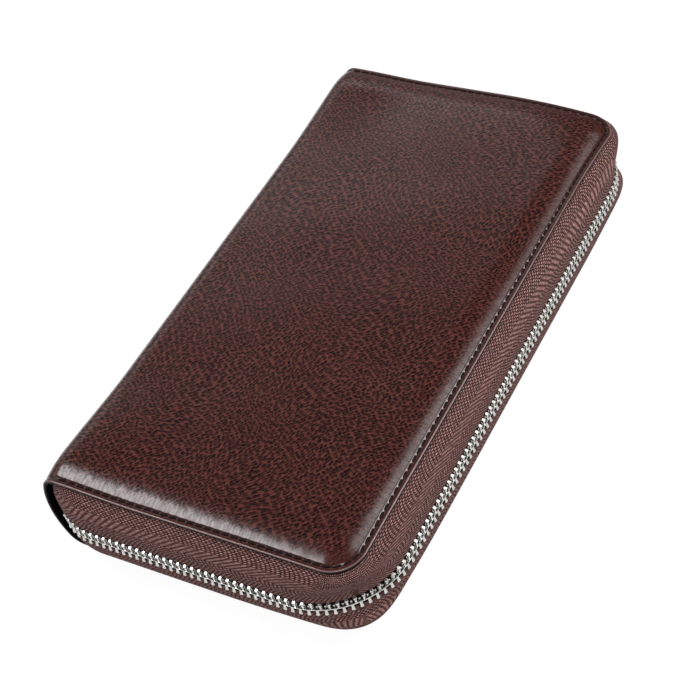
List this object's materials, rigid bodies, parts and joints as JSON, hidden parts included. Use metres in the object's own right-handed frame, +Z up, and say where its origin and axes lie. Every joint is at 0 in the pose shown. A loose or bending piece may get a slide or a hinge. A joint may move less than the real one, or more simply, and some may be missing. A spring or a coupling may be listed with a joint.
{
  "type": "zip-around wallet",
  "caption": "Padded leather long wallet that opens like a book, closed on its outer sides by a metal zip, with card pockets and a centre pocket inside.",
  "frame": {"origin": "middle of the flat underside of the back cover, on which the closed wallet lies", "axes": "+X from the spine to the long zip side, +Y along the wallet to the end where the closed slider sits, +Z up through the front cover"},
  "size_m": [0.1079, 0.2043, 0.0323],
  "materials": {
    "cover_leather": "dark red-brown pebbled leather, semi-gloss",
    "spine_leather": "dark red-brown pebbled leather, semi-gloss",
    "padding": "soft foam sheet",
    "board": "grey-brown stiffener board",
    "lining": "thin smooth lining leather, matt",
    "pocket_leather": "thin grained leather, satin",
    "pocket_fabric": "twill lining cloth, matt",
    "zip_tape": "herringbone woven tape, matt",
    "zip_teeth": "bright nickel plated teeth",
    "zip_metal": "bright nickel plate"
  },
  "bodies": {
    "back_half": {"back_cover_leather": "cover_leather", "back_padding": "padding", "back_board": "board", "back_lining": "lining", "back_card_pocket_1": "pocket_leather", "back_card_pocket_2": "pocket_leather", "back_card_pocket_3": "pocket_leather", "back_zip_tape": "zip_tape", "back_zip_teeth": "zip_teeth", "back_zip_stop": "zip_metal"},
    "spine": {"spine_leather": "spine_leather", "spine_lining": "lining", "centre_pocket": "pocket_fabric", "centre_binding_near": "lining", "centre_binding_far": "lining"},
    "front_half": {"front_cover_leather": "cover_leather", "front_padding": "padding", "front_board": "board", "front_lining": "lining", "front_card_pocket_1": "pocket_leather", "front_card_pocket_2": "pocket_leather", "front_card_pocket_3": "pocket_leather", "front_zip_tape": "zip_tape", "front_zip_teeth": "zip_teeth", "front_zip_stop": "zip_metal"},
    "slider": {"zip_slider": "zip_metal"},
    "pull": {"zip_pull": "zip_metal"}
  },
  "joints": [
    {"name": "spine_fold", "type": "hinge", "parent": "back_half", "child": "spine", "pos_m": [-0.04846, 0, 0.00223], "axis": [0, -1, 0], "range_deg": [0, 80]},
    {"name": "front_cover_swing", "type": "hinge", "parent": "spine", "child": "front_half", "pos_m": [-0.04846, 0, 0.03007], "axis": [0, -1, 0], "range_deg": [0, 80]},
    {"name": "slider_slide", "type": "slide", "parent": "back_half", "child": "slider", "axis": [1, 0, 0], "range_m": [0, 0.054], "deforming": ["back_zip_teeth", "front_zip_teeth"]},
    {"name": "pull_swing", "type": "hinge", "parent": "slider", "child": "pull", "pos_m": [-0.031, 0.10225, 0.01615], "axis": [0, 0, 1], "range_deg": [0, 180]}
  ],
  "couplings": [
    {"joint": "front_cover_swing", "follows": "spine_fold", "ratio": 1}
  ]
}
